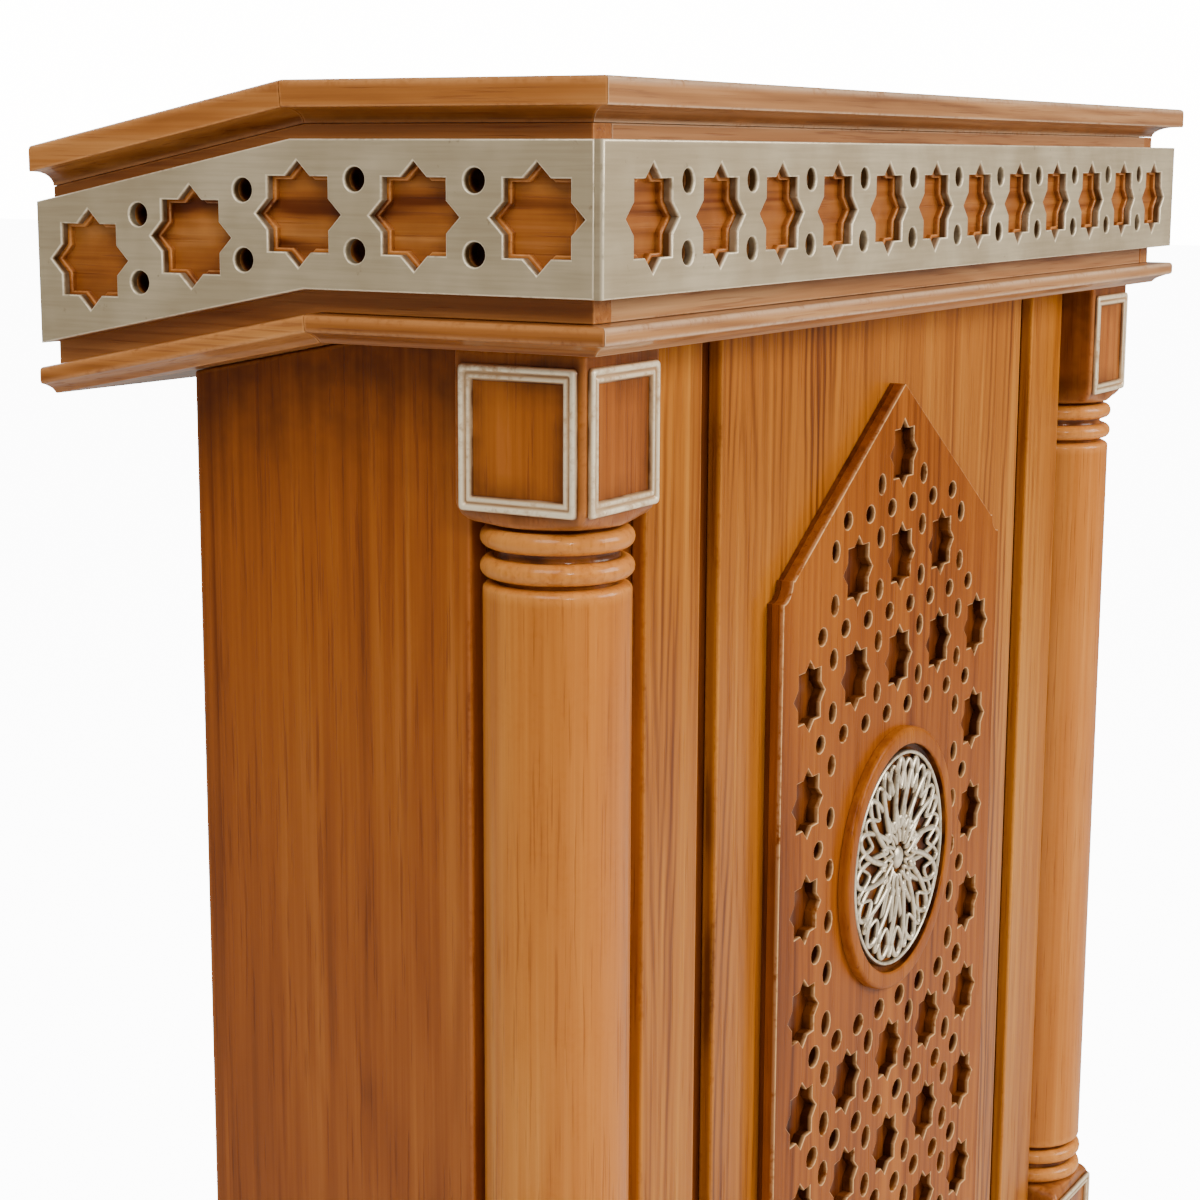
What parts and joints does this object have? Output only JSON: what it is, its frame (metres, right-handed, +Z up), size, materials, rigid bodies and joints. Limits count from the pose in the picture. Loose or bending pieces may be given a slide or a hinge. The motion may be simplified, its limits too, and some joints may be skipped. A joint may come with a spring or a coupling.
{
  "type": "mosque lectern",
  "caption": "Teak mosque lectern: sloping desk with a pierced star frieze, on an open-backed cabinet with turned corner columns and a carved lattice arch.",
  "frame": {"origin": "middle of the footprint, on the floor", "axes": "+Z up; -Y is the decorated front that faces the listeners; the speaker stands at +Y"},
  "size_m": [1.0054, 0.4074, 1.173],
  "materials": {
    "teak": "semi-gloss varnished teak, straight grain with dark streaks",
    "column_teak": "semi-gloss varnished teak, lighter golden tone",
    "backing_teak": "orange stained teak behind the star piercings",
    "dark_backing": "dark red-brown stained board in the grooves and behind the lattice",
    "champagne_paint": "champagne metallic paint, paler on the edges",
    "silver_leaf": "bright silver-gold leaf on carved relief",
    "inner_teak": "plain oiled teak inside the cabinet"
  },
  "bodies": {
    "root": {"apron_front": "teak", "apron_left": "teak", "apron_rear": "teak", "apron_right": "teak", "base_board": "teak", "block_lower_left": "column_teak", "block_lower_right": "column_teak", "block_upper_left": "column_teak", "block_upper_right": "column_teak", "book_stop": "teak", "cap_front": "teak", "cap_left_level": "teak", "cap_left_slope": "teak", "cap_right_level": "teak", "cap_right_slope": "teak", "corner_post_left": "inner_teak", "corner_post_right": "inner_teak", "desk_floor_level": "inner_teak", "desk_floor_slope": "inner_teak", "frame_lower_left_front": "champagne_paint", "frame_lower_left_side": "champagne_paint", "frame_lower_right_front": "champagne_paint", "frame_lower_right_side": "champagne_paint", "frame_upper_left_front": "champagne_paint", "frame_upper_left_side": "champagne_paint", "frame_upper_right_front": "champagne_paint", "frame_upper_right_side": "champagne_paint", "frieze_backing_front": "backing_teak", "frieze_backing_left": "backing_teak", "frieze_backing_right": "backing_teak", "frieze_plate_front": "champagne_paint", "frieze_plate_left": "champagne_paint", "frieze_plate_right": "champagne_paint", "front_backing": "dark_backing", "front_board": "teak", "front_stile_left": "teak", "front_stile_right": "teak", "lattice_backing": "dark_backing", "lattice_panel": "teak", "lower_moulding_front": "teak", "lower_moulding_left_level": "teak", "lower_moulding_left_slope": "teak", "lower_moulding_right_level": "teak", "lower_moulding_right_slope": "teak", "medallion_disc": "teak", "medallion_rosette": "silver_leaf", "plinth_front": "teak", "plinth_left": "teak", "plinth_rear": "teak", "plinth_right": "teak", "reading_board": "teak", "rear_bottom_rail": "teak", "rear_ledge": "teak", "rear_top_rail": "teak", "shaft_left": "column_teak", "shaft_right": "column_teak", "shelf": "inner_teak", "side_panel_left": "teak", "side_panel_right": "teak", "top_board_level": "teak"}
  },
  "joints": []
}
